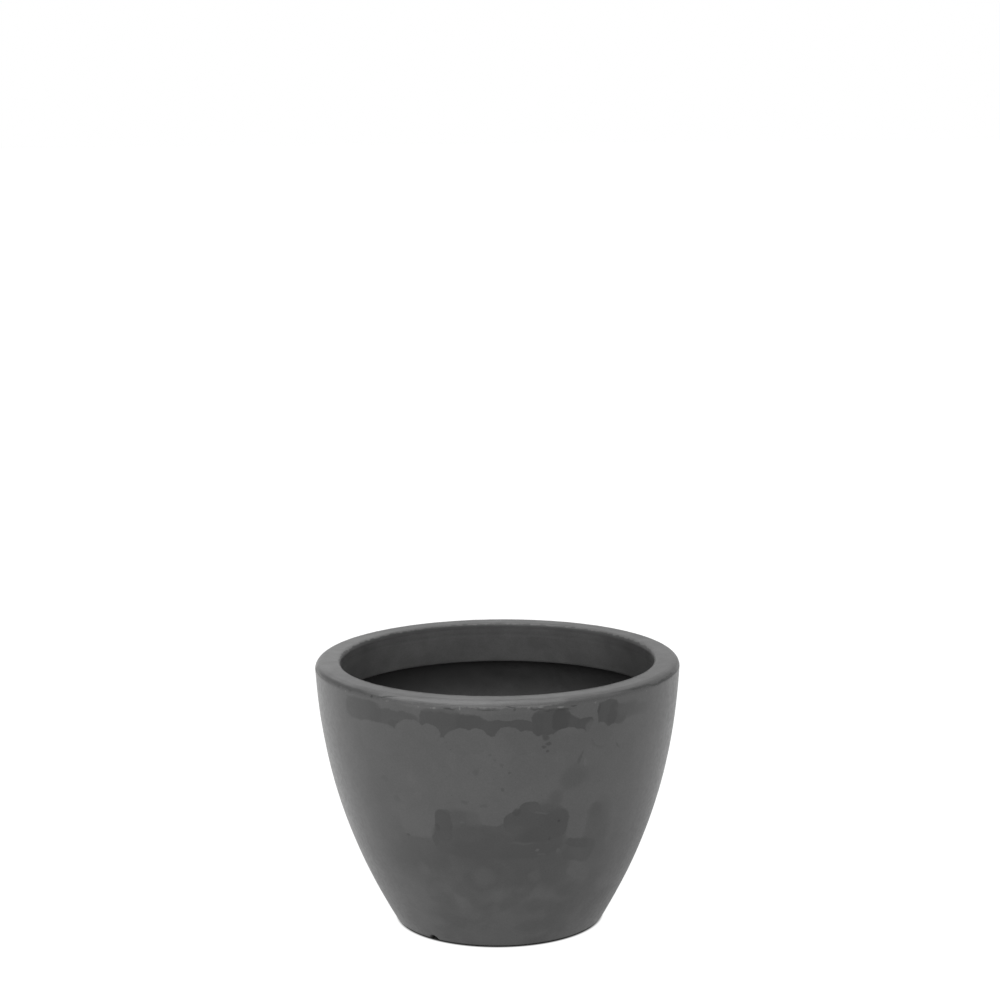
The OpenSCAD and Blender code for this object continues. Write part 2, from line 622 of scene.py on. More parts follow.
# The side that faces the camera, in the order in which the marks lie on each other
FRONT_DABS = (
    # broad drifts of the wash
    Dab(-50, 150, 50, 170, RUBBED, 0.32, 0.6),
    Dab(-2, 222, 74, 44, THICK, 0.2, 0.6),
    Dab(73, 82, 44, 44, THICK, 0.55, 0.6),
    Dab(55, 16, 46, 14, RUBBED, 0.4, 0.6),
    Dab(-52, 14, 40, 14, RUBBED, 0.3, 0.6),
    Dab(-13, 18, 30, 13, THICK, 0.3, 0.6),
    # the thin wash round the foot
    Dab(-11.5, 95, 8, 8, RUBBED, 1, 0.6),
    Dab(-15, 77, 13, 8, RUBBED, 1, 0.6),
    Dab(21.5, 100, 17, 22, RUBBED, 1, 0.6),
    Dab(29.5, 73, 18, 9, RUBBED, 1, 0.6),
    Dab(15, 56, 16, 9, RUBBED, 0.7, 0.6),
    Dab(16, 27, 22, 9, RUBBED, 0.7, 0.6),
    Dab(-19, 33, 10, 8, RUBBED, 0.7, 0.6),
    # the dark field on the lower half
    Dab(-42, 130, 30, 30, RUBBED, 0.6, 0.6),
    Dab(-45, 160, 20, 34, RUBBED, 0.4, 0.5),
    Dab(-28, 121, 30, 20, RUBBED, 1, 0.2, FLAT),
    Dab(36, 140, 17, 36, RUBBED, 0.8, 0.4),
    Dab(-31, 104, 36, 24, WIPED, 0.4, 0.6),
    Dab(42, 100, 18, 16, RUBBED, 0.5, 0.6),
    Dab(1, 116, 68, 32, WIPED, 0.5, 0.4, FLAT),
    Dab(1, 140, 71, 21.5, WIPED, 0.72, brush=FLAT),
    Dab(0, 126, 56, 24, WIPED, 0.5, 0.5),
    Dab(-22, 144, 5, 12, WIPED, 1, 0.2),
    Dab(-18, 158, 11, 18, WIPED, 1, 0.08, FLAT),
    Dab(-13, 158, 21, 19, RUBBED, 1, 0.2, FLAT),
    Dab(-18.6, 156, 9, 18, WIPED, 1, 0.1, FLAT),
    Dab(-9, 144, 24, 16, WIPED, 0.6, 0.3),
    Dab(6.3, 162, 15, 14.5, WIPED, 1, 0.06),
    Dab(14, 158, 30, 18, WIPED, 1, 0.06, FLAT),
    Dab(15.5, 164, 25, 19, WIPED, 0.8, 0.1),
    Dab(10.3, 173, 11.5, 13.5, WIPED, 1, 0.05, FLAT),
    Dab(15, 180, 17, 7, RUBBED, 0.5, 0.4),
    Dab(6, 175, 4, 5, SPARED, 0.8, 0.3),
    Dab(12, 146, 15, 9, SPARED, 0.25, 0.6),
    Dab(17.5, 160, 10, 9, SPARED, 0.25, 0.6),
    Dab(5, 152, 10, 8, RUBBED, 0.4, 0.6),
    Dab(-21, 155, 3, 5, SPARED, 0.7, 0.4),
    # the wash that runs down into it
    Dab(-7.5, 170, 10, 11, FULL, 0.5, 0.5),
    Dab(-2.6, 177, 11.5, 17.5, FULL, 1, 0.08, FLAT),
    Dab(0, 178, 10, 14, FULL, 1, 0.08, lean=-20),
    Dab(27.3, 160, 10.7, 24, FULL, brush=FLAT),
    Dab(30, 122, 20, 14, WIPED, 0.6, 0.12, FLAT, lean=-14),
    Dab(28.5, 131, 15, 5, WIPED, 0.7, 0.12, FLAT, lean=-16),
    Dab(33.6, 168, 8, 8, WIPED, 0.6, 0.5),
    Dab(34.5, 156, 8, 12, RUBBED, 0.6, 0.6),
    Dab(-28.8, 166, 20, 26, FULL, 1, 0.12, FLAT),
    Dab(-28, 131, 7, 4, RUBBED, 0.5, 0.4),
    Dab(-33, 140, 2.4, 1.5, WIPED, 1, 0.5),
    Dab(-12.3, 162, 3, 1.5, FULL, 0.5, 0.5),
    Dab(14, 172, 8, 1.2, FULL, 0.5, 0.5, lean=-8),
    Dab(8, 137.5, 14, 1.4, FULL, 0.4, 0.5, lean=-5),
    Dab(13.5, 128, 2.6, 2, THICK, 0.6, 0.4),
    Dab(15.5, 122, 5, 1.2, FULL, 0.4, 0.5),
    Dab(21.5, 124, 2.4, 2.4, FULL, 0.6, 0.4),
    Dab(20.3, 160.5, 1.6, 1.6, BARE, 1, 0.4),
    Dab(17.4, 141, 1.4, 2.2, SPARED, 1, 0.4),
    Dab(-29.5, 100, 7, 8, FULL, 0.6, 0.5),
    Dab(-6, 96, 13, 11, FULL, 0.5, 0.6),
    Dab(29, 97, 8, 6, FULL, 0.6, 0.25, FLAT),
    Dab(13.5, 95, 7, 7, FULL, 0.5, 0.6),
    # clouds, smears and specks above it
    Dab(18.5, 188, 7, 9, RUBBED, 0.7, 0.6),
    Dab(24, 210, 14, 11, RUBBED, 0.7, 0.6, lean=35),
    Dab(32.5, 248, 9, 9, RUBBED, 0.7, 0.4),
    Dab(38.5, 242, 10, 1.2, RUBBED, 1, 0.4, lean=-40),
    Dab(36, 249, 3, 3, THICK, 0.5, 0.4),
    Dab(28, 226, 1.5, 5, THICK, 0.5, 0.4),
    Dab(26, 232, 1.6, 7, RUBBED, 1, 0.4, lean=-15),
    Dab(-20, 224, 4, 8, THICK, 0.3, 0.5),
    Dab(-28, 208, 4, 9, THICK, 0.3, 0.5),
    Dab(-26.5, 191, 3, 5, THICK, 0.3, 0.5),
    Dab(-14, 234, 3.5, 13, THICK, 0.3, 0.4),
    Dab(-11, 186, 3, 2, RUBBED, 0.6, 0.6),
    Dab(-5, 183, 4, 2, RUBBED, 0.6, 0.6),
    Dab(-39, 203, 4, 3, RUBBED, 0.6, 0.6),
    Dab(-35, 182, 4, 3, RUBBED, 0.6, 0.6),
    Dab(-2.4, 242, 2, 1.6, RUBBED, 0.6, 0.5),
    Dab(-1, 236, 1.6, 1.6, RUBBED, 0.6, 0.5),
    Dab(0.8, 230, 2, 1.4, RUBBED, 0.6, 0.5),
    Dab(-7, 221, 2.5, 3, RUBBED, 0.6, 0.5),
    Dab(3.5, 220, 1.6, 1.6, RUBBED, 1, 0.5),
    Dab(1, 202, 1.6, 2, RUBBED, 1, 0.5),
    # the dark band under the rim
    Dab(-45.5, 277, 25, 12.5, WIPED, 0.9, 0.15, FLAT),
    Dab(-33.5, 272, 29, 11, WIPED, 0.75, brush=FLAT),
    Dab(-33, 268, 7, 5, WIPED, 1, 0.2),
    Dab(-17.5, 274.5, 20.5, 16, WIPED, 0.9, 0.06, FLAT),
    Dab(-7.6, 274, 14.5, 11, WIPED, brush=FLAT, lean=-20),
    Dab(-8.5, 275, 14, 9, SPARED, 0.3, 0.2, FLAT, lean=-20),
    Dab(-2, 271, 6, 8, SPARED, 0.5, 0.4),
    Dab(3, 270.5, 24, 8.5, WIPED, 1, 0.06, FLAT),
    Dab(15.6, 274.5, 17, 15.5, WIPED, 1, 0.05, FLAT),
    Dab(12, 270, 5, 18, SPARED, 0.3, 0.4),
    Dab(19, 277, 8, 11.5, BARE, 0.55, 0.12, FLAT, lean=-6),
    Dab(24.5, 272, 16, 9, SPARED, 0.8, brush=FLAT, lean=-22),
    Dab(28, 288, 20.5, 13, FULL, 1, 0.06),
    Dab(35, 277, 11.5, 14, SPARED, 0.75, 0.07, FLAT),
    Dab(39, 275, 12, 11, SPARED, 0.65, 0.15, FLAT, lean=-15),
    Dab(31.8, 284, 1.6, 6, BARE, 0.5, 0.4),
    Dab(45, 276, 20, 8, RUBBED, 1, 0.5, lean=-10),
    # the wash's scalloped edge under the band
    Dab(-40, 250, 23, 16.5, FULL, brush=FLAT),
    Dab(-27.5, 262, 17, 13.5, FULL, 1, 0.06),
    Dab(-21.5, 260, 12.5, 12.5, FULL, 1, 0.06),
    Dab(-11, 255, 17.6, 14.5, FULL, 1, 0.06),
    Dab(-6.5, 257, 11.5, 14, FULL, 1, 0.06),
    Dab(3.2, 258, 14, 14, FULL, 1, 0.06),
    Dab(8, 254, 12.5, 13.5, FULL, 1, 0.06),
    Dab(14.6, 250, 16, 11.5, FULL, 1, 0.06),
    Dab(22, 254, 17.5, 14, FULL, 1, 0.06),
    Dab(29.2, 261, 6.5, 10.5, FULL, 0.7, 0.2),
    Dab(33, 254, 9.5, 13.5, FULL, 1, 0.08),
    Dab(37.5, 252, 10.5, 12, FULL, 1, 0.08),
    Dab(46, 256, 19, 12, FULL, 1, 0.15),
    # a drip below it
    Dab(14.2, 259, 3.5, 3, WIPED, 1, 0.4),
    Dab(15.2, 252, 2.6, 2.2, WIPED, 1, 0.4),
    Dab(14, 248, 2.2, 2, WIPED, 1, 0.4),
    Dab(15.4, 243, 1.8, 1.6, WIPED, 1, 0.4),
    # the wash that is heaped over the joint, and its nicks and strokes
    Dab(-5, 289.5, 58, 4, THICK, 0.5, 0.5),
    Dab(-9, 297.4, 92, 5, HEAPED, 0.62, 0.08, FLAT),
    Dab(-26, 292.2, 30, 2.5, THICK, 1, 0.5),
    Dab(-34, 291, 14, 5, FULL, 0.6, 0.5),
    Dab(-6, 294, 14, 0.9, HEAPED, 1, 0.5),
    Dab(-19.5, 291.5, 1.4, 1.2, HEAPED, 1, 0.4),
    Dab(-11.5, 291.5, 1, 2, HEAPED, 1, 0.4),
    Dab(12.5, 292.5, 3, 1.5, HEAPED, 1, 0.4),
    Dab(16.5, 295.5, 6, 1, HEAPED, 1, 0.5),
    Dab(19, 290, 3, 1.2, HEAPED, 1, 0.5),
    Dab(-14.5, 290.2, 4.5, 0.9, SPARED, 1, 0.5),
    Dab(-3, 290.2, 9, 0.8, WIPED, 1, 0.5),
    Dab(5, 291.5, 1.6, 1.6, SPARED, 0.6, 0.5, lean=40),
    Dab(4, 293.8, 5, 0.7, RUBBED, 1, 0.5),
    Dab(11.5, 290.6, 6, 0.9, SPARED, 0.7, 0.5, lean=-6),
    Dab(15.3, 287.6, 5, 0.9, SPARED, 1, 0.5),
    Dab(20, 287, 7, 1.1, BARE, 0.6, 0.5),
    Dab(23.2, 290.6, 2.6, 0.9, SPARED, 1, 0.5),
    # the dark line at the sides, which is painted shadow along the rim's rounding, and a crack near its
    # left end
    Dab(-60.5, 296.2, 46, 1.9, BARE, 0.7, 0.6),
    Dab(-41.5, 294.6, 1.7, 1.7, BARE, 0.7, 0.5),
    Dab(-35.5, 296.2, 11, 0.7, WIPED, 1, 0.5, lean=9),
    Dab(66, 294, 36, 1.6, BARE, 0.85, 0.5),
    Dab(65, 293.6, 17, 2, BARE, 0.5, 0.5),
    Dab(49.5, 295.6, 24, 1, BARE, 0.6, 0.5, lean=-3),
)


def back_dabs(seed: int) -> list[Dab]:
    """Makes up the marks of the sides and the back in the manner of the front's.

    Args:
        seed: Start of the random draws.

    Returns:
        The marks, in the order in which they lie on each other.
    """
    draw = random.Random(seed)
    dabs = []
    for azimuth in range(-84, 85, 24):
        middle = azimuth + draw.uniform(-6, 6)
        width, reach = draw.uniform(22, 36), draw.uniform(16, 26)
        coat = draw.choice((RUBBED, WIPED))
        dabs.append(Dab(middle, draw.uniform(128, 156), width, reach, coat, edge=draw.uniform(0.06, 0.3)))
    for azimuth in (-70, -34, 2, 31, 66):
        middle = azimuth + draw.uniform(-7, 7)
        width, reach = draw.uniform(10, 17), draw.uniform(16, 26)
        dabs.append(Dab(middle, draw.uniform(164, 180), width, reach, FULL, brush=FLAT))
    azimuth = -96.0
    while azimuth < 96:
        width, reach = draw.uniform(12, 28), draw.uniform(8, 15)
        coat, lean = draw.choice((RUBBED, WIPED, WIPED, SPARED)), draw.uniform(-10, 10)
        dabs.append(Dab(azimuth, draw.uniform(271, 276), width, reach, coat, 1, 0.06, FLAT, lean))
        azimuth += width * draw.uniform(0.45, 0.85)
    azimuth = -100.0
    while azimuth < 100:
        width, reach = draw.uniform(10, 22), draw.uniform(11, 15)
        dabs.append(Dab(azimuth, draw.uniform(252, 258), width, reach, FULL, 1, 0.06))
        azimuth += width * draw.uniform(0.35, 0.6)
    for azimuth in (-80, -44, -14, 21, 57, 84):
        middle = azimuth + draw.uniform(-6, 6)
        width, reach, height = draw.uniform(14, 22), draw.uniform(7, 15), draw.uniform(287, 292)
        dabs.append(Dab(middle, height, width, reach, FULL, brush=draw.choice(list(Brush))))
    for _ in range(12):
        spot = draw.uniform(-90, 90), draw.uniform(180, 262)
        size = draw.uniform(1.5, 4)
        dabs.append(Dab(*spot, size, size, draw.choice((RUBBED, WIPED, THICK)), 0.7, 0.4))
    for azimuth in (-74, -36, 4, 42, 80):
        middle, width = azimuth + draw.uniform(-6, 6), draw.uniform(24, 52)
        dabs.append(Dab(middle, draw.uniform(295, 296.5), width, 5, HEAPED, 0.8, 0.08, FLAT))
        middle, width = azimuth + 19 + draw.uniform(-6, 6), draw.uniform(24, 52)
        dabs.append(Dab(middle, 293.8, width, 1.3, BARE, 0.8, 0.5))
    return dabs


@dataclass(frozen=True)
class Wash:
    """The grey wash that is brushed over the planter's outside.

    Args:
        wall_r: Radius in millimetres at which a degree is turned into a length along the wall.
        front_half: Share of the way from the side to the front at which the front's marks start.
        seam: Half the width of the strip over which they start, as such a share.
        full: Heights in millimetres over which the ground grows full.
        drift: How far clouds move those heights, from the lowest to the highest.
        thin: Share of the wash that is left in the thinnest patches below them.
        sways: Sizes in metres of the brush's unsteadiness, each with its swing in millimetres.
        seed: Start of the random draws for the back's marks.
    """

    wall_r: float = 180.0
    front_half: float = 0.2
    seam: float = 0.06
    full: tuple[float, float] = (112.0, 160.0)
    drift: float = 90.0
    thin: float = 0.68
    sways: tuple[tuple[float, float], ...] = ((13 * MM, 5.0), (3.5 * MM, 2.0))
    seed: int = 11

    def group(self) -> bpy.types.NodeTree:
        """Builds the node group that says, at every place, how much wash there is."""
        tree = bpy.data.node_groups.new("brushed_wash", "ShaderNodeTree")
        tree.interface.new_socket("Wash", in_out="OUTPUT", socket_type="NodeSocketFloat")
        recipe = Recipe(tree)
        place = recipe.place
        x, y, z = recipe.node("SeparateXYZ", {0: place}).outputs
        height = recipe.math("MULTIPLY", z, 1 / MM)
        base = self.base(recipe, place, height)
        front_angle = recipe.math("ARCTAN2", x, recipe.math("MULTIPLY", y, -1.0))
        back_angle = recipe.math("ARCTAN2", recipe.math("MULTIPLY", x, -1.0), y)
        front = self.brush(recipe, base, self.paper(recipe, place, front_angle, height), FRONT_DABS)
        back_paper = self.paper(recipe, place, back_angle, height)
        back = self.brush(recipe, base, back_paper, back_dabs(self.seed))
        ahead = recipe.vector("NORMALIZE", recipe.level(place))
        facing = recipe.vector("DOT_PRODUCT", ahead, (0, -1, 0), output=1)
        start, end = self.front_half - self.seam, self.front_half + self.seam
        is_front = recipe.fit(facing, start, end, 0.0, 1.0)
        wash = recipe.mix(is_front, back, front)
        out = tree.nodes.new("NodeGroupOutput")
        tree.links.new(wash, out.inputs[0])
        return tree

    def base(self, recipe: Recipe, place: Socket, height: Socket) -> Socket:
        """Lays the wash's ground, full above and thin and cloudy below."""
        cloud = recipe.noise(place, 45 * MM, detail=3.0)
        drift = recipe.math("MULTIPLY_ADD", cloud, self.drift, -self.drift / 2)
        full = recipe.fit(recipe.math("ADD", height, drift), *self.full, 0.0, 1.0)
        patches = recipe.noise(place, 36 * MM, detail=2.0, Distortion=0.4)
        return recipe.mix(full, recipe.fit(patches, 0.34, 0.66, self.thin, 1.0), 1.0)

    def paper(self, recipe: Recipe, place: Socket, angle: Socket, height: Socket) -> Socket:
        """Unrolls one side of the wall into millimetres, with the brush's unsteadiness."""
        along = recipe.math("MULTIPLY", angle, self.wall_r)
        flat = recipe.node("CombineXYZ", {0: along, 1: height}).outputs[0]
        for size, sway in self.sways:
            inputs = {"Vector": place, "Scale": 1 / size, "Detail": 1.0}
            wander = recipe.node("TexNoise", inputs).outputs["Color"]
            centred = recipe.vector("SUBTRACT", wander, (0.5, 0.5, 0.5))
            flat = recipe.vector("ADD", flat, recipe.vector("MULTIPLY", centred, (sway, sway, 0)))
        return recipe.level(flat)

    def brush(self, recipe: Recipe, ground: Socket, paper: Socket, dabs: Iterable[Dab]) -> Socket:
        """Lays marks on a ground, one over the other, and returns the wash that results.

        The wash so far rides along as the coordinates' third number. Each mark then waits for
        the one before it, which keeps the material within the memory that the renderer has.
        """
        wash = ground
        across, up, _ = recipe.node("SeparateXYZ", {0: paper}).outputs
        for dab in dabs:
            centre = (math.radians(dab.azimuth) * self.wall_r, dab.height, 0)
            inputs = {
                "Vector": recipe.node("CombineXYZ", {0: across, 1: up, 2: wash}).outputs[0],
                "Location": centre,
                "Rotation": (0, 0, math.radians(dab.lean)),
                "Scale": (dab.width, dab.reach, 1),
            }
            offset = recipe.node("Mapping", inputs, vector_type="TEXTURE").outputs[0]
            squared = recipe.vector("MULTIPLY", offset, offset)
            if dab.brush is Brush.FLAT:
                squared = recipe.vector("MULTIPLY", squared, squared)
            reach = recipe.vector("DOT_PRODUCT", squared, (1, 1, 0), output=1)
            edge = dab.edge * dab.brush.value
            cover = recipe.fit(reach, 1 + edge, max(0.0, 1 - edge), 0.0, dab.strength)
            wash = recipe.mix(cover, wash, dab.coat.value)
        return wash


@dataclass(frozen=True)
class Patch:
    """A soft patch in which a tone is lighter or darker.

    Args:
        spot: Its middle.
        core: How far round the middle it is even.
        reach: How far it goes.
        share: What the tone is multiplied by in it.
    """

    spot: tuple[float, float, float]
    core: float
    reach: float
    share: float

    def tint(self, recipe: Recipe, place: Socket, tone: Socket) -> Socket:
        """Returns the tone with the patch in it."""
        away = recipe.vector("DISTANCE", place, self.spot, output=1)
        share = recipe.fit(away, self.core, self.reach, self.share, 1.0)
        return recipe.math("MULTIPLY", tone, share)


# Painted light on the rim: lighter on the left, where the light comes from, a little lighter on the right
# and a little darker at the back
RIM_PAINTED_LIGHT = (
    Patch((-0.19, 0.03, 0.30), 0.04, 0.16, 1.40),
    Patch((0.20, 0.03, 0.30), 0.02, 0.09, 1.10),
    Patch((0.0, 0.19, 0.30), 0.05, 0.14, 0.94),
)
# Painted shade on the collar's inner face: darker at its right side and, less so, at its left, where less
# light reaches it
COLLAR_SIDE_SHADE = (
    Patch((0.19, -0.02, 0.27), 0.11, 0.21, 0.56),
    Patch((-0.19, -0.02, 0.27), 0.11, 0.19, 0.74),
)


@dataclass(frozen=True)
class WashedConcrete:
    """Dark fibre concrete under a brushed wash, and bare on its inside, with shade painted inside under
    the collar and along the foot's bottom edge.

    Args:
        name: The material's name.
        bare: Reflectance of the concrete.
        washed: Reflectance of the wash.
        inside: Reflectance of the inside lower down, below the shade painted under the collar.
        dust: Heights over which the inside darkens upwards into that painted shade.
        foot_contact_shade: Heights over which the shade painted along the foot's bottom edge, where it
            meets the floor, gives out.
        joint: Heights over which the nicks along the joint come in, and go out again.
        clouds: Size, detail and depth of its cloudiness.
        roughness: Its roughness.
        shine: The shader's specular level.
    """

    name: str
    bare: float = 0.016
    washed: float = 0.067
    inside: float = 0.120
    dust: tuple[float, float] = (188 * MM, 238 * MM)
    foot_contact_shade: tuple[float, float] = (0.5 * MM, 3 * MM)
    joint: tuple[float, float, float, float] = (289.5 * MM, 291 * MM, 293.5 * MM, 295 * MM)
    clouds: tuple[float, float, float] = (30 * MM, 4.0, 0.05)
    roughness: float = 0.35
    shine: float = 0.5

    def mix(self, wash: bpy.types.NodeTree) -> bpy.types.Material:
        """Builds the material.

        Args:
            wash: The group that says how much wash there is.

        Returns:
            The material.
        """
        made, recipe = material(self.name)
        place = recipe.place
        brushed = recipe.node("Group", node_tree=wash).outputs[0]
        outside = recipe.fit(recipe.out_from_axis(), 0.15, 0.45, 0.0, 1.0)
        coat = recipe.mix(brushed, self.bare, self.washed)
        height = recipe.axis(place, 2)
        # painted shade: the inside darkens towards its top, under the collar's overhang
        shaded_inside = recipe.fit(height, *self.dust, self.inside, 1.8 * self.bare)
        # painted shade along the foot's bottom edge, where it meets the floor
        foot_contact_shade = recipe.fit(height, *self.foot_contact_shade, 0.5, 1.0)
        tone = recipe.mix(outside, shaded_inside, recipe.math("MULTIPLY", coat, foot_contact_shade))
        tone = self.weather(recipe, place, tone, self.nicks(recipe, place, height))
        rough = recipe.cloudy(place, 5 * MM, self.roughness - 0.04, self.roughness + 0.04)
        skin = recipe.noise(place, 1.2 * MM, detail=3.0)
        finish_surface(recipe, recipe.grey(tone), rough, skin, 0.03 * MM, self.shine)
        return made

    def weather(
        self, recipe: Recipe, place: Socket, tone: Socket, nicks: Socket, *strokes: Socket
    ) -> Socket:
        """Returns a tone with its clouds, grain and pores, and the nicks and strokes given."""
        size, detail, depth = self.clouds
        cloud = recipe.cloudy(place, size, 1 - depth, 1 + depth, detail)
        grain = recipe.cloudy(place, 1.8 * MM, 0.94, 1.06)
        for share in (cloud, grain, *strokes, self.pores(recipe, place), nicks):
            tone = recipe.math("MULTIPLY", tone, share)
        return tone

    def pores(self, recipe: Recipe, place: Socket) -> Socket:
        """Returns the darkening of the finest pores, 1 between them."""
        away, drawn = recipe.scatter(place, 4.5 * MM, 0)
        inside = recipe.math("LESS_THAN", away, recipe.fit(drawn, 0.70, 1.0, 0.0, 0.12))
        return recipe.math("MULTIPLY_ADD", inside, -0.35, 1.0)

    def nicks(self, recipe: Recipe, place: Socket, height: Socket) -> Socket:
        """Returns the lightening of the small nicks along the joint, 1 between them."""
        away, drawn = recipe.scatter(place, 5 * MM, 1)
        low = recipe.fit(height, *self.joint[:2], 0.0, 1.0)
        high = recipe.fit(height, *self.joint[2:], 1.0, 0.0)
        size = recipe.math("MULTIPLY", recipe.fit(drawn, 0.45, 1.0, 0.0, 0.30), low)
        inside = recipe.fit(away, 0.0, 1.0, 0.0, 1.0)
        nick = recipe.math("LESS_THAN", inside, recipe.math("MULTIPLY", size, high))
        return recipe.math("MULTIPLY_ADD", nick, 0.45, 1.0)


@dataclass(frozen=True)
class SandedConcrete(WashedConcrete):
    """The rim's concrete: sanded along its run, and washed on its top and outside.

    Args:
        land: Reflectance of the upright land at the mouth.
        lapped: Reflectance of the wash that laps up from the wall.
        top_z: Heights over which the wall's wash gives way to the rim's own.
        land_z: Heights over which the collar turns into the land.
        edge_z: Heights over which the land darkens towards the wash.
        wash_z: Heights over which the wash comes in.
        wash_r: Radius that the wash reaches in to.
        streak: Distance between the sanding's streaks.
        streak_turns: How many lengths of a streak go into one radian.
    """

    washed: float = 0.088
    # the collar's lower taper: painted lighter than the land, against the shade it gets as it faces down
    inside: float = 0.160
    land: float = 0.104
    lapped: float = 0.067
    top_z: tuple[float, float] = (297 * MM, 299 * MM)
    land_z: tuple[float, float] = (283.5 * MM, 288.5 * MM)
    edge_z: tuple[float, float] = (292 * MM, 297 * MM)
    wash_z: tuple[float, float] = (290 * MM, 292 * MM)
    wash_r: float = 181 * MM
    clouds: tuple[float, float, float] = (24 * MM, 3.0, 0.10)
    roughness: float = 0.42
    streak: float = 1.1 * MM
    streak_turns: float = 9.0

    def mix(self, wash: bpy.types.NodeTree) -> bpy.types.Material:
        """Builds the material, as WashedConcrete does, with the sanding's streaks."""
        made, recipe = material(self.name)
        place = recipe.place
        brushed = recipe.node("Group", node_tree=wash).outputs[0]
        height = recipe.axis(place, 2)
        lapped = recipe.mix(recipe.math("MINIMUM", brushed, 1.8), self.bare, self.lapped)
        coat = recipe.mix(recipe.fit(height, *self.top_z, 0.0, 1.0), lapped, self.washed)
        # painted light: the collar's lower taper is lighter than the land, against the shade it gets as
        # it faces down into the bowl
        land = recipe.fit(height, *self.land_z, self.inside, self.land)
        # the rim's painted light: lighter on the left, where the light comes from, and darker at the back
        for patch in RIM_PAINTED_LIGHT:
            coat = patch.tint(recipe, place, coat)
        # the collar's painted shade at its sides
        for patch in COLLAR_SIDE_SHADE:
            land = patch.tint(recipe, place, land)
        edge = recipe.fit(height, *self.edge_z, land, 1.7 * self.bare)
        outside = self.washed_edge(recipe, place, height)
        tone = recipe.mix(outside, edge, coat)
        scratches = self.sanding(recipe, place)
        streaks = recipe.mix(outside, 1.0, recipe.swing(scratches, 0.84, 1.16))
        nicks = recipe.mix(outside, 1.0, self.nicks(recipe, place, height))
        tone = self.weather(recipe, place, tone, nicks, streaks)
        rough = recipe.swing(scratches, self.roughness - 0.05, self.roughness + 0.05)
        skin = recipe.noise(place, 1.2 * MM, detail=3.0)
        finish_surface(recipe, recipe.grey(tone), rough, skin, 0.06 * MM, self.shine)
        return made

    def washed_edge(self, recipe: Recipe, place: Socket, height: Socket) -> Socket:
        """Says where the ring is washed: outside and on top, farther in at the back."""
        radius = recipe.vector("LENGTH", recipe.level(place), output=1)
        sway = recipe.cloudy(place, 7 * MM, -0.8 * MM, 0.8 * MM, detail=2.0)
        behind = recipe.axis(place, 1)
        lead = recipe.fit(behind, -0.15, 0.0, -1.0 * MM, 4.6 * MM)
        radius = recipe.math("ADD", radius, recipe.math("ADD", sway, lead))
        over = recipe.fit(radius, self.wash_r - 0.8 * MM, self.wash_r + 0.8 * MM, 0.0, 1.0)
        return recipe.math("MULTIPLY", over, recipe.fit(height, *self.wash_z, 0.0, 1.0))

    def sanding(self, recipe: Recipe, place: Socket) -> Socket:
        """Returns a noise that is drawn out along the rim, from 0 to 1."""
        flat = recipe.level(place)
        turn = recipe.vector("NORMALIZE", flat)
        radius = recipe.vector("LENGTH", flat, output=1)
        height = recipe.axis(place, 2)
        around = recipe.vector("MULTIPLY", turn, (self.streak_turns,) * 3)
        rise = recipe.math("MULTIPLY", height, 1 / self.streak)
        up = recipe.node("CombineXYZ", {2: rise}).outputs[0]
        inputs = {
            "Vector": recipe.vector("ADD", around, up),
            "W": recipe.math("MULTIPLY", radius, 1 / self.streak),
            "Scale": 1.0,
            "Detail": 3.0,
        }
        return recipe.node("TexNoise", inputs, noise_dimensions="4D").outputs["Fac"]


@dataclass(frozen=True)
class StruckMortar:
    """The mortar's raked edge, grey where the wash has run into it.

    Args:
        name: The material's name.
        bare: Reflectance of the mortar.
        washed: Reflectance of the wash in it.
    """

    name: str
    bare: float = 0.012
    washed: float = 0.068

    def mix(self, wash: bpy.types.NodeTree) -> bpy.types.Material:
        """Builds the material from the group that says how much wash there is."""
        made, recipe = material(self.name)
        place = recipe.place
        brushed = recipe.node("Group", node_tree=wash).outputs[0]
        sand = recipe.noise(place, 0.7 * MM, detail=3.0)
        shade = recipe.swing(sand, 0.85, 1.15)
        tone = recipe.math("MULTIPLY", recipe.mix(brushed, self.bare, self.washed), shade)
        finish_surface(recipe, recipe.grey(tone), 0.45, sand, 0.1 * MM, 0.5)
        return made


@dataclass(frozen=True)
class SleevePlastic:
    """Grey moulded plastic with fine scuffs."""

    name: str
    tone: tuple[float, float, float] = (0.27, 0.27, 0.25)

    def mix(self) -> bpy.types.Material:
        """Builds the material."""
        made, recipe = material(self.name)
        place = recipe.place
        scuffs = recipe.noise(place, 1.2 * MM, detail=5.0, Distortion=1.5)
        share = recipe.fit(scuffs, 0.35, 0.7, 0.9, 1.08)
        colour = recipe.vector("SCALE", self.tone)
        recipe.put(colour.node.inputs["Scale"], share)
        rough = recipe.swing(scuffs, 0.35, 0.5)
        finish_surface(recipe, colour, rough, scuffs, 0.02 * MM, 0.5)
        return made


@dataclass(frozen=True)
class PlugRubber:
    """Black moulded rubber with a dull bloom in cloudy patches."""

    name: str
    tone: float = 0.014
    bloom: float = 0.035

    def mix(self) -> bpy.types.Material:
        """Builds the material."""
        made, recipe = material(self.name)
        place = recipe.place
        cloud = recipe.noise(place, 6 * MM, detail=5.0, Distortion=0.8)
        dust = recipe.fit(cloud, 0.42, 0.75, 0.0, 1.0)
        tone = recipe.mix(dust, self.tone, self.bloom)
        rough = recipe.mix(dust, 0.5, 0.72)
        skin = recipe.noise(place, 0.35 * MM, detail=3.0)
        finish_surface(recipe, recipe.grey(tone), rough, skin, 0.03 * MM, 0.5)
        return made


# Pieces


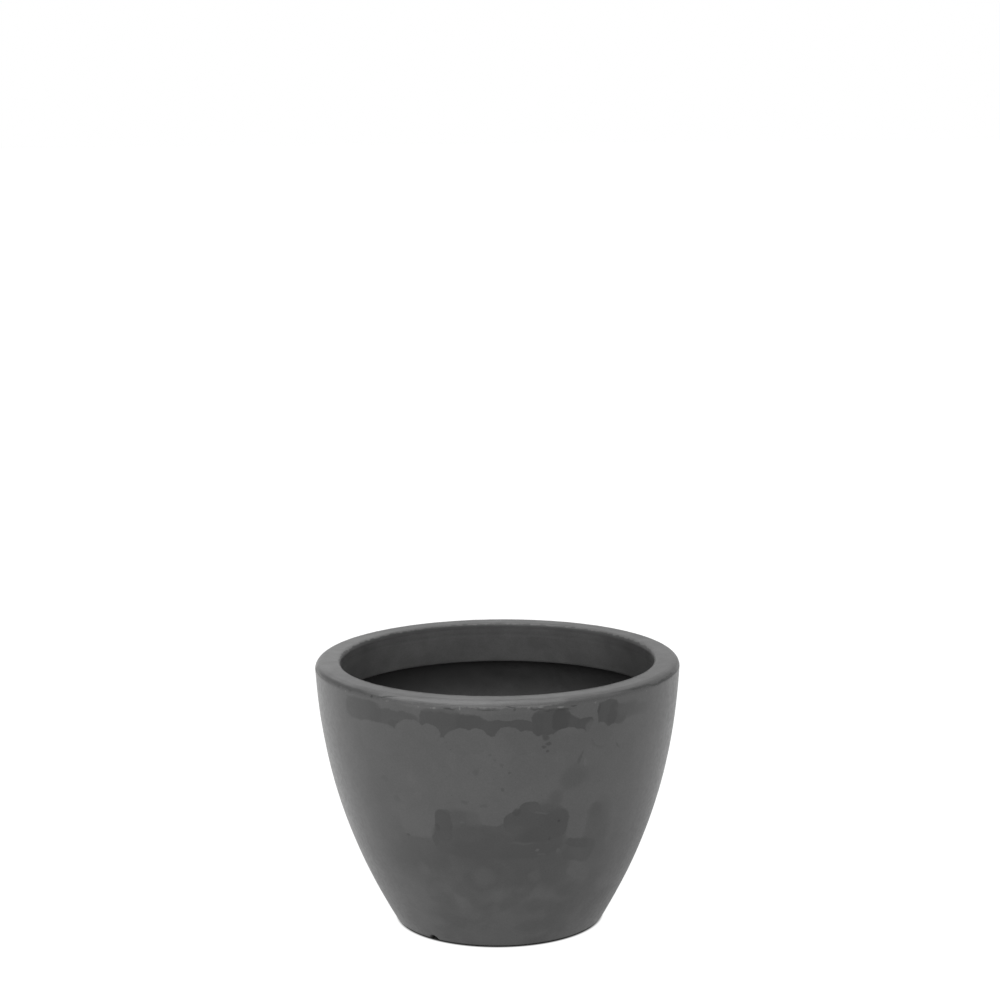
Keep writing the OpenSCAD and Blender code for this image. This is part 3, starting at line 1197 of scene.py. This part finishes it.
def dress(
    piece: bpy.types.Object, finish: bpy.types.Material, body: str, node: str
) -> bpy.types.Object:
    """Gives a piece its material and its place in the frame.

    Args:
        piece: The piece.
        finish: Its material.
        body: The CAD body that it rides on.
        node: The CAD node that it stands for.

    Returns:
        The piece.
    """
    piece.data.materials.clear()
    piece.data.materials.append(finish)
    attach(piece, body)
    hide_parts(node)
    LOG.info("%s: %d faces, %s", piece.name, len(piece.data.polygons), finish.name)
    return piece


@dataclass(frozen=True)
class BowlShell:
    """The thin bowl with its floor, foot and drain notches, and the bed for the ring."""

    section: Section
    floor_z: float = 20 * MM
    floor_fall: float = 2 * MM
    floor_round: float = 24 * MM
    foot_h: float = 8 * MM
    foot_w: float = 18 * MM
    foot_draft: float = 3 * MM
    seat_r: float = 20 * MM
    seat_z: float = 18 * MM
    sleeve_r: float = 13.5 * MM
    key_r: float = 16.5 * MM
    key_h: float = 3 * MM
    notch_d: float = 14 * MM
    notch_turns: tuple[float, ...] = (232, 52)
    chord: float = 3.2 * MM
    sides: int = 372

    def outline(self) -> Outline:
        """Draws the section, from the foot's inner edge outwards and up."""
        cut, chord = self.section, self.chord
        drawn = Outline()
        foot_in = cut.foot_r - self.foot_w
        drawn.add(even([point(foot_in, 0), point(cut.foot_r, 0)], 2 * chord), Surface.SEAT)
        drawn.add(arc(cut.foot_centre, cut.foot_round, -90, -cut.foot_lean, 1 * MM), Surface.CAST)
        steps = math.ceil((cut.wall_at(1) - cut.wall_at(0)).length / chord)
        drawn.add([cut.wall_at(i / steps) for i in range(steps + 1)], Surface.CAST)
        nose = arc(cut.rim_centre, cut.rim_round, -cut.rim_lean, cut.nose_angle(cut.edge_z), 1 * MM)
        drawn.add(nose[:-1], Surface.CAST)
        edge = [nose[-1], cut.bed_at(cut.edge_z), cut.bed_at(cut.collar_z)]
        drawn.add(even(edge, 2 * chord), Surface.SEAT)
        bend_z = self.floor_z + self.floor_fall + self.floor_round
        low = cut.share_at(bend_z, cut.wall + self.floor_round)
        high = cut.share_at(cut.collar_z, cut.wall)
        steps = math.ceil((cut.wall_at(high) - cut.wall_at(low)).length / (1.25 * chord))
        for i in range(1, steps + 1):
            drawn.add([cut.wall_at(high + (low - high) * i / steps, cut.wall)], Surface.LAID)
        corner = cut.wall_at(low, cut.wall + self.floor_round)
        drawn.add(arc(corner, self.floor_round, -cut.lean_at(low), -90, 2.4 * MM), Surface.LAID)
        floor = [
            (*drawn.points[-1], 0),
            (self.seat_r, self.floor_z, 0.8 * MM),
            (self.seat_r, self.seat_z, 0.5 * MM),
            (self.sleeve_r + 0.5 * MM, self.seat_z, 0),
        ]
        drawn.add(rounded(floor, 1.4 * chord), Surface.LAID)
        key_low = (self.foot_h + self.seat_z - self.key_h) / 2
        drain = [
            point(self.sleeve_r, self.seat_z),
            point(self.sleeve_r, key_low + self.key_h),
            point(self.key_r, key_low + self.key_h),
            point(self.key_r, key_low),
            point(self.sleeve_r, key_low),
            point(self.sleeve_r, self.foot_h),
        ]
        drawn.add(drain, Surface.SEAT)
        under = [
            (self.sleeve_r, self.foot_h, 0),
            (foot_in - self.foot_draft, self.foot_h, 2 * MM),
            (foot_in, 0, 0),
        ]
        drawn.add(rounded(under, 1.6 * chord)[1:-1], Surface.CAST)
        return drawn

    def notch_cutter(self, degrees: float) -> bpy.types.Object:
        """Makes the tool for one drain notch: a round bar that flares where it comes out.

        Args:
            degrees: Its direction, from +X towards +Y.

        Returns:
            The cutter.
        """
        clear_selection()
        inner, mouth = self.section.foot_r - 2 * self.foot_w, self.section.foot_r
        radius = self.notch_d / 2
        bpy.ops.mesh.primitive_circle_add(
            vertices=48, radius=radius, fill_type="NGON", enter_editmode=True,
            location=(inner, 0, 0), rotation=(0, math.pi / 2, 0),
        )
        flare = ((mouth - inner + 5 * MM, 1.0), (3 * MM, 1.06), (20 * MM, 1.4))
        for step, widening in flare:
            bpy.ops.mesh.extrude_region_move(TRANSFORM_OT_translate={"value": (step, 0, 0)})
            bpy.ops.transform.resize(value=(1, widening, widening))
        bpy.ops.mesh.select_all(action="SELECT")
        bpy.ops.mesh.normals_make_consistent(inside=False)
        bpy.ops.transform.rotate(
            value=-math.radians(degrees), orient_axis="Z", center_override=(0, 0, 0)
        )
        cutter = bpy.context.object
        bpy.ops.object.mode_set(mode="OBJECT")
        return cutter

    def build(self) -> bpy.types.Object:
        """Turns the shell, gives it its relief and cuts its notches."""
        piece = Lathe(self.sides).turn("bowl_casting", self.outline())
        for relief in (CAST_WAVE, CAST_GRAIN, LAID_WAVE, LAID_GRAIN):
            relief.press(piece)
        for degrees in self.notch_turns:
            carve(piece, self.notch_cutter(degrees))
        smooth(piece, 35)
        return piece


@dataclass(frozen=True)
class RimRing:
    """The thick rim, rounded over the wall's edge, with a collar that hangs inside."""

    section: Section
    rim_w: float = 29 * MM
    mouth_round: float = 6 * MM
    land_h: float = 8 * MM
    collar_edge: float = 6.5 * MM
    collar_round: float = 2 * MM
    lip_round: float = 0.25 * MM
    chord: float = 2.2 * MM
    sides: int = 480

    def outline(self) -> Outline:
        """Draws the section, from the nose's lower lip over the top and down the collar."""
        cut, chord = self.section, self.chord
        drawn = Outline()
        nose = cut.nose_angle(cut.nose_z)
        lip = cut.rim_centre + polar(cut.rim_round, nose)
        start = math.degrees(self.lip_round / cut.rim_round)
        outer = arc(cut.rim_centre, cut.rim_round, nose + start, 90, 0.9 * MM)
        drawn.add([lip - point(self.lip_round, 0)], Surface.SEAT)
        drawn.add([lip + point(-0.2, 0.15) * self.lip_round], Surface.SEAT)
        drawn.add(outer, Surface.CAST)
        mouth_r = cut.rim_r - self.rim_w
        mouth = point(mouth_r + self.mouth_round, cut.height - self.mouth_round)
        drawn.add(even([outer[-1], mouth + polar(self.mouth_round, 90)], chord), Surface.CAST)
        drawn.add(arc(mouth, self.mouth_round, 90, 180, 1.2 * MM), Surface.CAST)
        bed = cut.bed_at(cut.collar_z) - point(cut.bond, 0)
        collar = [
            (mouth_r, mouth.y, 0),
            (mouth_r, mouth.y - self.land_h, 20 * MM),
            (bed.x - self.collar_edge, cut.collar_z, self.collar_round),
            (bed.x - 1 * MM, cut.collar_z, 0),
        ]
        drawn.add(rounded(collar, chord), Surface.CAST)
        top = cut.bed_at(cut.nose_z) - point(cut.bond, 0)
        drawn.add(even([bed, top, lip - point(self.lip_round, 0)], 2 * chord)[:-1], Surface.SEAT)
        return drawn

    def build(self) -> bpy.types.Object:
        """Turns the ring and gives it its relief."""
        piece = Lathe(self.sides).turn("rim_casting", self.outline())
        for relief in (CAST_GRAIN, RIM_LUMPS):
            relief.press(piece)
        smooth(piece, 35)
        return piece


@dataclass(frozen=True)
class MortarBed:
    """The mortar between the ring and the bowl, raked back by hand."""

    section: Section
    rake: float = 0.12 * MM
    chord: float = 3 * MM
    sides: int = 480

    def outline(self) -> Outline:
        """Draws the L-shaped section."""
        cut = self.section
        low, high = cut.bed_at(cut.collar_z), cut.bed_at(cut.edge_z)
        shell = cut.rim_centre + polar(cut.rim_round, cut.nose_angle(cut.edge_z))
        nose = cut.rim_centre + polar(cut.rim_round, cut.nose_angle(cut.nose_z))
        back, bond = point(self.rake, 0), point(cut.bond, 0)
        drawn = Outline()
        drawn.add(even([low - bond, low], cut.bond / 3), Surface.SEAT)
        drawn.add(even([low, high, shell - back], self.chord), Surface.SEAT)
        drawn.add(even([shell - back, nose - back], cut.bond / 6)[1:-1], Surface.CAST)
        bed = cut.bed_at(cut.nose_z) - bond
        drawn.add(even([nose - back, bed, low - bond], self.chord)[:-1], Surface.SEAT)
        return drawn

    def build(self) -> bpy.types.Object:
        """Turns the bed and roughens its raked edge."""
        piece = Lathe(self.sides, fade=0.5 * MM).turn("mortar_joint", self.outline())
        Relief(Surface.CAST, size=4 * MM, depth=0.25 * MM, octaves=3, level=0.8).press(piece)
        smooth(piece, 50)
        return piece


@dataclass(frozen=True)
class DrainSleeve:
    """The plastic sleeve that lines the drain, with a ring that keys it into the floor."""

    bore_r: float = 11 * MM
    wall: float = 2.5 * MM
    key_h: float = 3 * MM
    key_w: float = 3 * MM
    edge: float = 0.5 * MM
    sides: int = 128

    def outline(self) -> Outline:
        """Draws the section between the heights that the frame gives."""
        low, high = (corner.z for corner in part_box("drain_sleeve"))
        outer = self.bore_r + self.wall
        key_low = (low + high - self.key_h) / 2
        drawn = Outline()
        corners = [
            (self.bore_r, (low + high) / 2, 0),
            (self.bore_r, high, self.edge),
            (outer, high, self.edge / 2),
            (outer, key_low + self.key_h, 0),
            (outer + self.key_w, key_low + self.key_h, self.edge / 2),
            (outer + self.key_w, key_low, self.edge / 2),
            (outer, key_low, 0),
            (outer, low, self.edge / 2),
            (self.bore_r, low, self.edge),
            (self.bore_r, (low + high) / 2, 0),
        ]
        drawn.add(rounded(corners, 1 * MM)[:-1], Surface.SEAT)
        return drawn

    def build(self) -> bpy.types.Object:
        """Turns the sleeve."""
        piece = Lathe(self.sides).turn("sleeve_moulding", self.outline())
        smooth(piece, 35)
        return piece


@dataclass(frozen=True)
class DrainPlug:
    """The rubber plug: a shank with sealing ribs, a head and a tab to pull it out by."""

    bore_r: float = 11 * MM
    gap: float = 0.08 * MM
    ribs: int = 3
    rib_h: float = 1 * MM
    seat_z: float = 18 * MM
    head_h: float = 4 * MM
    tab_w: float = 20 * MM
    tab_t: float = 5 * MM
    groove_r: float = 15 * MM
    grips: int = 3
    grip_r: float = 0.7 * MM
    grip_rise: float = 0.45 * MM
    grip_top: float = 5 * MM
    grip_pitch: float = 2.6 * MM
    voxel: float = 0.32 * MM
    sides: int = 160

    def outline(self) -> Outline:
        """Draws the turned part's section, from the axis below to the axis above."""
        low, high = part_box("drain_plug")
        shank = self.bore_r - self.gap - self.rib_h
        pitch = (self.seat_z - low.z) / self.ribs
        top = self.seat_z + self.head_h
        corners = [(0, low.z, 0), (shank, low.z, 0.4 * MM)]
        for rib in range(self.ribs):
            foot = low.z + rib * pitch
            corners += [
                (shank, foot + 0.12 * pitch, 0.2 * MM),
                (shank + self.rib_h, foot + 0.34 * pitch, 0.4 * MM),
                (shank + self.rib_h, foot + 0.60 * pitch, 0.4 * MM),
                (shank, foot + 0.82 * pitch, 0.2 * MM),
            ]
        corners += [
            (shank, self.seat_z, 0.4 * MM),
            (high.x, self.seat_z, 1.2 * MM),
            (high.x, top, 1.9 * MM),
            (self.groove_r + 1.1 * MM, top, 0.3 * MM),
            (self.groove_r + 0.5 * MM, top - 0.6 * MM, 0.3 * MM),
            (self.groove_r - 0.5 * MM, top - 0.6 * MM, 0.3 * MM),
            (self.groove_r - 1.1 * MM, top, 0.3 * MM),
            (0, top, 0),
        ]
        drawn = Outline()
        drawn.add(rounded(corners, 1 * MM), Surface.SEAT)
        return drawn

    def tab(self) -> bpy.types.Object:
        """Makes the pull tab, with a half-round top and grip bars on both faces."""
        clear_selection()
        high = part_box("drain_plug")[1].z
        round_r = self.tab_w / 2
        bpy.ops.mesh.primitive_circle_add(
            vertices=64, radius=round_r, fill_type="NGON", enter_editmode=True,
            location=(0, -self.tab_t / 2, high - round_r), rotation=(math.pi / 2, 0, 0),
        )
        bpy.ops.mesh.bisect(
            plane_co=(0, 0, high - round_r), plane_no=(0, 0, -1), use_fill=False, clear_outer=True
        )
        tab = bpy.context.object
        bpy.ops.mesh.select_all(action="DESELECT")
        bpy.ops.object.mode_set(mode="OBJECT")
        lowest = min((tab.matrix_world @ v.co).z for v in tab.data.vertices)
        for edge in tab.data.edges:
            ends = [(tab.matrix_world @ tab.data.vertices[i].co).z for i in edge.vertices]
            edge.select = max(ends) < lowest + 0.01 * MM
        bpy.ops.object.mode_set(mode="EDIT")
        depth = lowest - (self.seat_z + self.head_h / 2)
        bpy.ops.mesh.extrude_edges_move(TRANSFORM_OT_translate={"value": (0, 0, -depth)})
        bpy.ops.mesh.select_all(action="SELECT")
        bpy.ops.mesh.extrude_region_move(TRANSFORM_OT_translate={"value": (0, self.tab_t, 0)})
        bpy.ops.mesh.select_all(action="SELECT")
        bpy.ops.mesh.normals_make_consistent(inside=False)
        bpy.ops.object.mode_set(mode="OBJECT")
        apply_modifier(tab, "BEVEL", width=1.1 * MM, segments=4, limit_method="ANGLE")
        for step in range(self.grips):
            self.add_grip(tab, high - self.grip_top - self.grip_pitch * step)
        return tab

    def add_grip(self, tab: bpy.types.Object, height: float) -> None:
        """Adds one grip bar across both faces of the tab."""
        clear_selection()
        bpy.ops.mesh.primitive_cylinder_add(
            vertices=32, radius=self.grip_r, depth=self.tab_w * 0.55,
            location=(0, 0, height), rotation=(0, math.pi / 2, 0), enter_editmode=True,
        )
        bpy.ops.transform.resize(value=(1, (self.tab_t / 2 + self.grip_rise) / self.grip_r, 1))
        bar = bpy.context.object
        bpy.ops.object.mode_set(mode="OBJECT")
        apply_modifier(tab, "BOOLEAN", object=bar, operation="UNION", solver="EXACT")
        bpy.data.objects.remove(bar)

    def build(self) -> bpy.types.Object:
        """Turns the plug, joins its tab to it and rounds the joint as a mould would."""
        piece = Lathe(self.sides).turn("plug_moulding", self.outline(), closed=False)
        tab = self.tab()
        apply_modifier(piece, "BOOLEAN", object=tab, operation="UNION", solver="EXACT")
        bpy.data.objects.remove(tab)
        apply_modifier(piece, "REMESH", mode="VOXEL", voxel_size=self.voxel)
        apply_modifier(piece, "SMOOTH", factor=0.5, iterations=4)
        smooth(piece, 60)
        return piece


# Studio


@dataclass(frozen=True)
class Studio:
    """A white tent round the planter, and the camera that looks into it.

    Args:
        middle: Height of the planter's middle.
        foot_r: Outside radius of the foot ring, inside which the floor doesn't glow.
        elevation: The camera's height above the planter's middle, in degrees.
        distance: Its distance from there.
        pitch: How far it looks down, in degrees.
        yaw: How far it looks to the right, in degrees.
        roll: How far it leans to the right, in degrees.
        lens: Its focal length in millimetres, on a 36 mm sensor.
        shift: How far the frame is moved up, as a share of its width.
        backdrop: Radiance of the tent as the camera sees it.
        horizon: Radiance of the tent's lowest part, as it lights the planter.
        sky: Radiance of the tent's walls and roof.
        sky_fall: How much darker its right side is than its middle.
        sky_back: Share of that radiance behind the planter.
        sky_front: The same behind the camera.
        floor_size: The floor's side.
        floor_white: Glow of the floor as the camera sees it.
        floor_left: Glow of the floor on the left, as it lights the planter.
        floor_right: The same on the right.
        floor_near: Share of that glow that is left close behind the planter.
        floor_paint: Reflectance of the floor.
        lamp_stand: Where the lamp hangs.
        lamp_size: Its side.
        lamp_power: Its power in watts.
    """

    middle: float
    foot_r: float
    elevation: float = 16.19
    distance: float = 2.8316
    pitch: float = 12.375
    yaw: float = 0.072
    roll: float = 0.516
    lens: float = 90.12
    shift: float = 0.119
    backdrop: float = 1.0
    horizon: float = 0.8
    sky: float = 0.72
    sky_fall: float = 0.072
    sky_back: float = 0.9
    sky_front: float = 1.12
    floor_size: float = 60.0
    floor_white: float = 1.0
    floor_left: float = 1.03
    floor_right: float = 0.81
    floor_near: float = 0.6
    floor_paint: float = 0.10
    lamp_stand: tuple[float, float, float] = (-0.3, -0.2, 2.4)
    lamp_size: float = 2.4
    lamp_power: float = 36.0

    def camera(self) -> None:
        """Sets up the camera."""
        data = bpy.data.cameras.new("camera")
        data.sensor_width = 36
        data.lens = self.lens
        data.shift_y = self.shift
        data.clip_start, data.clip_end = 0.05, 200
        camera = bpy.data.objects.new("camera", data)
        bpy.context.scene.collection.objects.link(camera)
        rise = math.radians(self.elevation)
        stand = Vector((0, -math.cos(rise), math.sin(rise))) * self.distance
        turn = (
            Matrix.Rotation(-math.radians(self.yaw), 4, "Z")
            @ Matrix.Rotation(math.pi / 2 - math.radians(self.pitch), 4, "X")
            @ Matrix.Rotation(-math.radians(self.roll), 4, "Z")
        )
        camera.matrix_world = Matrix.Translation(Vector((0, 0, self.middle)) + stand) @ turn
        bpy.context.scene.camera = camera

    def floor(self) -> None:
        """Lays a pale floor, lit from within, that can be seen through from below.

        It is white to the camera all over, and lights the planter less from the right and from
        close behind it.
        """
        clear_selection()
        bpy.ops.mesh.primitive_plane_add(size=self.floor_size, location=(0, 0, 0))
        floor = bpy.context.object
        floor.name = "floor"
        made, recipe = material("pale_floor")
        place = recipe.place
        shade = recipe.cloudy(place, 0.4, 0.98, 1.02)
        colour = recipe.grey(recipe.math("MULTIPLY", shade, self.floor_paint))
        paint = recipe.node("BsdfDiffuse", {"Color": colour, "Roughness": 0.9})
        side = recipe.axis(place, 0)
        away = recipe.vector("LENGTH", place, output=1)
        free = recipe.fit(away, self.foot_r + 3 * MM, self.foot_r + 8 * MM, 0.0, 1.0)
        behind = recipe.vector("DISTANCE", place, (0.08, 0.12, 0), output=1)
        near = recipe.fit(behind, 0.12, 0.45, self.floor_near, 1.0)
        light = recipe.fit(side, -0.7, 0.7, self.floor_left, self.floor_right)
        seen = recipe.node("LightPath").outputs["Is Camera Ray"]
        strength = recipe.mix(seen, recipe.math("MULTIPLY", light, near), self.floor_white)
        glow = recipe.node("Emission", {"Strength": recipe.math("MULTIPLY", strength, free)})
        lit = recipe.node("AddShader", {0: paint.outputs[0], 1: glow.outputs[0]})
        clear = recipe.node("BsdfTransparent")
        below = recipe.node("NewGeometry").outputs["Backfacing"]
        mixed = recipe.node("MixShader", {0: below, 1: lit.outputs[0], 2: clear.outputs[0]})
        recipe.node("OutputMaterial", {"Surface": mixed.outputs[0]})
        floor.data.materials.append(made)

    def tent(self) -> None:
        """Puts up the tent, white to the camera and a little darker above and to the right."""
        world = bpy.data.worlds.new("tent")
        bpy.context.scene.world = world
        world.use_nodes = True
        world.node_tree.nodes.clear()
        recipe = Recipe(world.node_tree)
        ray = recipe.node("TexCoord").outputs["Generated"]
        across, ahead, up = recipe.node("SeparateXYZ", {0: ray}).outputs
        walls = recipe.math("MULTIPLY_ADD", across, -self.sky_fall, self.sky)
        for start, end, share in ((0.4, 0.95, self.sky_back), (-0.3, -0.95, self.sky_front)):
            walls = recipe.math("MULTIPLY", walls, recipe.fit(ahead, start, end, 1.0, share))
        raised = recipe.fit(up, math.sin(math.radians(3)), math.sin(math.radians(11)), 0.0, 1.0)
        seen = recipe.node("LightPath").outputs["Is Camera Ray"]
        strength = recipe.mix(seen, recipe.mix(raised, self.horizon, walls), self.backdrop)
        sky = recipe.node("Background", {"Color": (1, 1, 1, 1), "Strength": strength})
        recipe.node("OutputWorld", {"Surface": sky.outputs[0]})

    def lamp(self) -> None:
        """Hangs a soft lamp above, out of the picture."""
        lamp = bpy.data.lights.new("overhead", "AREA")
        lamp.size = self.lamp_size
        lamp.energy = self.lamp_power
        holder = bpy.data.objects.new("overhead", lamp)
        bpy.context.scene.collection.objects.link(holder)
        holder.location = self.lamp_stand
        aim = Vector((0, 0, self.middle)) - Vector(self.lamp_stand)
        holder.rotation_euler = aim.to_track_quat("-Z", "Y").to_euler()
        holder.visible_camera = False
        bpy.context.scene.view_settings.view_transform = "Standard"


def main() -> None:
    """Builds and dresses the planter, piece by piece, in its studio."""
    logging.basicConfig(level=logging.INFO, format="%(name)s: %(message)s")
    section = Section.measured()
    wash = Wash().group()
    bowl = WashedConcrete("washed_concrete").mix(wash)
    rim = SandedConcrete("sanded_concrete").mix(wash)
    joint = StruckMortar("struck_mortar").mix(wash)
    dress(BowlShell(section).build(), bowl, "planter", "bowl_shell")
    dress(RimRing(section).build(), rim, "planter", "rim_ring")
    dress(MortarBed(section).build(), joint, "planter", "rim_mortar")
    sleeve = SleevePlastic("scuffed_plastic").mix()
    dress(DrainSleeve().build(), sleeve, "planter", "drain_sleeve")
    rubber = PlugRubber("dusty_rubber").mix()
    dress(DrainPlug().build(), rubber, "plug", "drain_plug")
    studio = Studio(middle=section.height / 2, foot_r=section.foot_r)
    studio.camera()
    studio.floor()
    studio.tent()
    studio.lamp()


if __name__ == "__main__":
    main()
